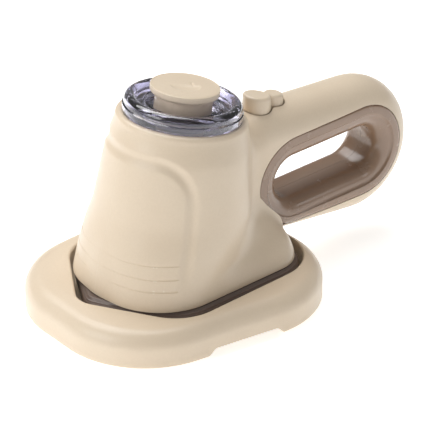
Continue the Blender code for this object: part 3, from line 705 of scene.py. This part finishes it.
def body_loft(grow, first, last, count=96, levels=28):
    """Rings of the body's skin, grown by grow, between two shares of the height."""
    rings = []
    for share in np.linspace(first, last, levels):
        circles = [tuple(float(v) for v in circle) for circle in section_circles(share)]
        ring = []
        for x, y in hull(mirrored(circles), count, grow):
            ring.append((x + SHIFT, y, BODY_FLOOR + share * (deck(x) - BODY_FLOOR)))
        rings.append(ring)
    return rings


def handle_loft(inset, half, steps=16, count=120):
    """Rings of the handle's pillow shape, inset from its outline, across its width."""
    rings = []
    for k in range(1, steps):
        angle = math.pi * (k / steps - 0.5)
        drop = (HANDLE_ROUND - inset * 0.5) * (1 - math.cos(angle))
        rings.append(side_ring(HANDLE_OUTLINE, half * math.sin(angle), -inset - drop, count))
    return rings


def button_ring(grow, z, slope=0.0, count=72):
    """Outline of the two-lobed button; the waist between the lobes is soft."""
    (x1, r1), (x2, r2) = BUTTON_LOBES
    middle = (x1 + x2) / 2
    ring = []
    for k in range(count):
        angle = 2 * math.pi * (k + 0.5) / count
        c, s = math.cos(angle), math.sin(angle)
        reaches = []
        for x, r in ((x1, r1 + grow), (x2, r2 + grow)):
            off = x - middle
            inside = r * r - (off * s) ** 2
            reaches.append(off * c + math.sqrt(inside) if inside > 0 else 0.0)
        low, high = sorted(reaches)
        blend = max(BUTTON_WAIST - (high - low), 0.0)
        reach = high + blend * blend / (4 * BUTTON_WAIST)
        x = middle + reach * c
        ring.append((x + SHIFT, reach * s, z + slope * (x - x1)))
    return ring


def raw_skin():
    """Body and handle as one even mesh of voxels."""
    raw = bmesh.new()
    for rings in (body_loft(0.0, LOFT_FLOOR, 1.0), handle_loft(0.0, HANDLE_HALF)):
        bm = skin_bmesh(rings)
        bmesh.ops.recalc_face_normals(bm, faces=bm.faces)
        mesh = bpy.data.meshes.new("part")
        bm.to_mesh(mesh)
        bm.free()
        raw.from_mesh(mesh)
        bpy.data.meshes.remove(mesh)
    skin = add_object("housing_skin", raw)
    remesh = skin.modifiers.new("remesh", "REMESH")
    remesh.mode = "VOXEL"
    remesh.voxel_size = VOXEL
    freeze(skin)
    return skin


def press_skin(skin):
    """Settles the mesh on the field above the floor and presses the nose arch in."""
    flat = np.empty(len(skin.data.vertices) * 3, np.float32)
    skin.data.vertices.foreach_get("co", flat)
    p = flat.reshape(-1, 3).astype(float) / MM
    p[:, 0] -= SHIFT
    free = p[:, 2] > BODY_FLOOR - 1.5
    p[free] = settle(p[free])
    slope = gradient(p[free])
    slope /= np.maximum(np.linalg.norm(slope, axis=1), 1e-6)[:, None]
    p[free] -= slope * arch_depth(p[free])[:, None]
    p[:, 0] += SHIFT
    skin.data.vertices.foreach_set("co", (p * MM).astype(np.float32).ravel())
    skin.data.update()


def housing_cutters():
    """Floor, nose lines, finger loop, inside, neck, and the holes for button and gland."""
    x, y, z = FAR
    loop = [(u, v, LOOP_FACE + LOOP_GAP) for u, v in LOOP]
    inside = body_loft(-SHELL, 0.0, CAVITY_TOP)
    floor = [(u, v, BODY_FLOOR - 3.0) for u, v, _ in inside[0]]
    return [
        box_bmesh((-x, -y, -20.0), (x, y, BODY_FLOOR)),
        *[line_bmesh(height) for height in LINE_HEIGHTS],
        skin_bmesh([side_ring(loop, across, 0.0, 200) for across in (-LOOP_CUT, LOOP_CUT)]),
        skin_bmesh([floor] + inside),
        skin_bmesh([seat_ring(NECK_R, above, 96) for above in NECK_SPAN]),
        skin_bmesh(handle_loft(SHELL, HANDLE_HALF - SHELL)),
        skin_bmesh([button_ring(GAP + 0.1, height) for height in BUTTON_HOLE]),
        cylinder_bmesh(GLAND_X + SHIFT, 0.0, *GLAND_HOLE, GLAND_HOLE_R),
    ]


def housing():
    """Cream skin: one smooth solid, pressed, cut and parted at the mirror plane."""
    skin = raw_skin()
    press_skin(skin)
    cut(skin, *housing_cutters())
    x, y, z = FAR
    for name, side in (("left_housing", 1), ("right_housing", -1)):
        half = skin.copy()
        half.data = skin.data.copy()
        half.name = name + "_look"
        bpy.context.scene.collection.objects.link(half)
        near, far = sorted((side * PARTING, side * y))
        cut(half, box_bmesh((-x, near, -20.0), (x, far, z)), operation="INTERSECT")
        finish_shading(half, CREAM, 38.0)
        piece(half, "iron", "cream_plastic", name)
    bpy.data.objects.remove(skin)


def handle_side(x, z):
    """Half width of the handle's skin at points of its side view."""
    rise = np.clip((handle_outline(x, z) + HANDLE_ROUND) / HANDLE_ROUND, 0, 1)
    return HANDLE_HALF * np.sqrt(1 - rise * rise)


def liner_section():
    """(radius, half width, whether measured from the handle's side) round the cross-section."""
    section = [(LOOP_FACE - step, proud, True) for step, proud in RIM_EDGE]
    section += [(LOOP_FACE - RIM_FLAT * k / 8, LINER_PROUD, True) for k in range(1, 9)]
    section += [(LOOP_CREST - step, proud, True) for step, proud in RIM_CREST]
    flare = HANDLE_HALF - LOOP_FLARE - TUNNEL_EDGE
    drop = LOOP_CREST - TUNNEL_DROP - LOOP_INNER
    for k in range(1, 19):
        angle = math.pi / 2 * k / 18
        radius = LOOP_INNER + drop * (1 - math.sin(angle))
        section.append((radius, LOOP_FLARE + flare * math.cos(angle), False))
    back = LOOP_INNER + LINER_WALL
    section += [(LOOP_INNER, LINER_MEET, False), (back, LINER_MEET, False)]
    section += [(back + step, width, False) for step, width in LINER_BACK]
    section.append((LOOP_FACE - LINER_HEEL[0], LINER_HEEL[1], False))
    return section


def grip_liners():
    """Taupe lining of the finger loop in two halves: a flush rim, then a waisted, glossy tunnel."""
    centres = [(x, z, 0.0) for x, z in LOOP]
    for name, side in (("left_grip_liner", 1), ("right_grip_liner", -1)):
        rings = []
        for radius, width, from_side in liner_section():
            ring = np.array(side_ring(centres, 0.0, radius, LINER_POINTS))
            base = handle_side(ring[:, 0] - SHIFT, ring[:, 2]) if from_side else 0.0
            ring[:, 1] = side * (base + width)
            rings.append([tuple(point) for point in ring])
        obj = add_object(name + "_look", skin_bmesh(rings, closed=True), TAUPE, 50.0)
        piece(obj, "iron", "taupe_plastic", name)


# ---------------------------------------------------------------- cover, plug and button


def tank_cover():
    """Clear ring: straight foot band, shadow groove, round bulge, sunken floor and inner lip."""
    bulge = []
    for k in range(1, BULGE_STEPS + 1):
        angle = math.pi * (0.02 + 0.86 * k / BULGE_STEPS)
        radius = BULGE_R + BULGE_WIDE * math.cos(angle)
        bulge.append((radius, BULGE_ABOVE + BULGE_HIGH * math.sin(angle)))
    rings = [seat_ring(radius, above) for radius, above in COVER_FOOT + bulge + COVER_INSIDE]
    obj = add_object("tank_cover_look", skin_bmesh(rings, closed=True), SMOKE, 42.0)
    piece(obj, "iron", "clear_plastic", "tank_cover")


def thumb_mark(x, y):
    """Depth of the mark in the plug's top: a crescent dish and a short straight groove."""
    dish = 1.0 - (x * x + y * y) / DISH_R**2
    step = 1 / (1 + math.exp((x * 0.5 + y * 0.9 - 0.5) * 2.5))
    depth = DISH_DEEP * max(dish, 0.0) ** 0.6 * step if dish > 0 else 0.0
    (at_x, at_y), (way_x, way_y) = MARK_AT, MARK_WAY
    along = (x - at_x) * way_x + (y - at_y) * way_y
    across = (x - at_x) * way_y - (y - at_y) * way_x
    within = 1.0 if abs(along) < MARK_HALF else 0.0
    groove = MARK_DEEP * math.exp(-((across / MARK_WIDE) ** 2)) * within
    return max(depth, groove)


def filler_plug():
    """Plug with a flat disc head, a straight stem and a grooved neck below the cover."""
    disc = PLUG_R / PLUG_RINGS
    top = [(disc * k * PLUG_DISC, PLUG_TOP) for k in range(1, PLUG_RINGS + 1)]
    side = rounded(PLUG_SIDE, PLUG_ROUND, 5)[2:-6]
    rings = []
    for radius, above in top + side:
        ring = []
        for k in range(ROUND_POINTS):
            angle = 2 * math.pi * k / ROUND_POINTS
            x, y = radius * math.cos(angle), radius * math.sin(angle)
            marked = above == PLUG_TOP and radius < MARKED_R
            ring.append(seat_point(x, y, above - (thumb_mark(x, y) if marked else 0.0)))
        rings.append(ring)
    obj = add_object("filler_plug_look", skin_bmesh(rings), CREAM, 40.0)
    piece(obj, "plug", "cream_plastic", "filler_plug")


def steam_button():
    """Two-lobed button with drafted sides, a soft top edge and a slightly sunken top."""
    chamfer, rise = BUTTON_CHAMFER
    rings = [button_ring(-chamfer, BUTTON_STEM), button_ring(0.0, BUTTON_STEM + rise)]
    for k in range(9):
        angle = math.pi / 2 * k / 8
        grow = -BUTTON_DRAFT - BUTTON_EDGE * (1 - math.cos(angle))
        height = BUTTON_TOP - BUTTON_EDGE + BUTTON_EDGE * math.sin(angle)
        rings.append(button_ring(grow, height, BUTTON_SLOPE))
    rim = rings[-1]
    middle = (BUTTON_LOBES[0][0] + BUTTON_LOBES[1][0]) / 2 + SHIFT
    high = BUTTON_TOP + BUTTON_SLOPE * (middle - SHIFT - BUTTON_LOBES[0][0])
    for share in (0.75, 0.5, 0.25):
        dip = BUTTON_CROWN * (1 - share)
        rings.append([
            (middle + (x - middle) * share, y * share, high + (z - high) * share - dip)
            for x, y, z in rim
        ])
    obj = add_object("steam_button_look", skin_bmesh(rings), CREAM, 40.0)
    piece(obj, "button", "cream_plastic", "steam_button")


# ---------------------------------------------------------------- carried-over CAD nodes

KEPT_LOOKS = {
    SILICONE: ("heat_rest_pad", "chamber_gasket", "thermal_fuse", "tank_seal", "plug_seal",
               "suction_hose", "delivery_hose"),
    RUBBER: ("base_foot_1", "base_foot_2", "base_foot_3", "base_foot_4", "cord_gland"),
    ALUMINIUM: ("soleplate",),
    CAST: ("steam_chamber_wall", "steam_chamber_cover"),
    STEEL: ("heating_element", "chamber_screw_1", "chamber_screw_2", "chamber_screw_3",
            "button_spring"),
    BLACK: ("thermostat", "micro_switch", "water_pump"),
    TANK: ("water_tank",),
    BOARD: ("circuit_board",),
}


def dress_kept_nodes():
    """Gives the carried-over CAD nodes their looks."""
    for look, names in KEPT_LOOKS.items():
        for name in names:
            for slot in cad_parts[name].material_slots:
                slot.material = look


# ---------------------------------------------------------------- studio


def studio():
    """Pale floor, white surround and three soft lights aimed at the object."""
    made, tree, shader = new_material(
        "floor_look", Roughness=0.9, Emission_Color=(1.0, 1.0, 1.0, 1.0), Emission_Strength=FLOOR_GLOW)
    shade = mix(tree, spread(tree, noise(tree, 6.0), 0.0, 1.0), (0.90, 0.90, 0.90), (0.92, 0.92, 0.92))
    tree.links.new(shade, shader.inputs["Base Color"])
    bm = bmesh.new()
    bmesh.ops.create_grid(bm, x_segments=8, y_segments=8, size=FLOOR_HALF)
    floor = add_object("floor", bm, made)
    world = bpy.data.worlds.new("surround")
    world.use_nodes = True
    backdrop = world.node_tree.nodes["Background"]
    backdrop.inputs["Color"].default_value = (1.0, 1.0, 1.0, 1.0)
    backdrop.inputs["Strength"].default_value = SURROUND
    bpy.context.scene.world = world
    for name, place, size, power in LIGHTS:
        data = bpy.data.lights.new(name, "AREA")
        data.shape = "SQUARE"
        data.size = size
        data.energy = power
        light = bpy.data.objects.new(name, data)
        light.location = place
        light.rotation_euler = (Vector(AIM) - Vector(place)).to_track_quat("-Z", "Y").to_euler()
        bpy.context.scene.collection.objects.link(light)
    bpy.context.scene.view_settings.view_transform = "Standard"


def camera():
    """Camera at the photograph's angle and distance."""
    azimuth, elevation = math.radians(AZIMUTH), math.radians(ELEVATION)
    ahead = Vector((
        -math.sin(azimuth) * math.cos(elevation),
        math.cos(azimuth) * math.cos(elevation),
        -math.sin(elevation),
    ))
    data = bpy.data.cameras.new("camera")
    data.lens = LENS
    data.sensor_width = SENSOR
    data.clip_start, data.clip_end = CLIP
    obj = bpy.data.objects.new("camera", data)
    obj.location = Vector(AIM) - ahead * DISTANCE
    obj.rotation_euler = ahead.to_track_quat("-Z", "Y").to_euler()
    bpy.context.scene.collection.objects.link(obj)
    bpy.context.scene.camera = obj


camera()
studio()
dress_kept_nodes()
docking_base()
sole_skirt()
housing()
grip_liners()
tank_cover()
filler_plug()
steam_button()
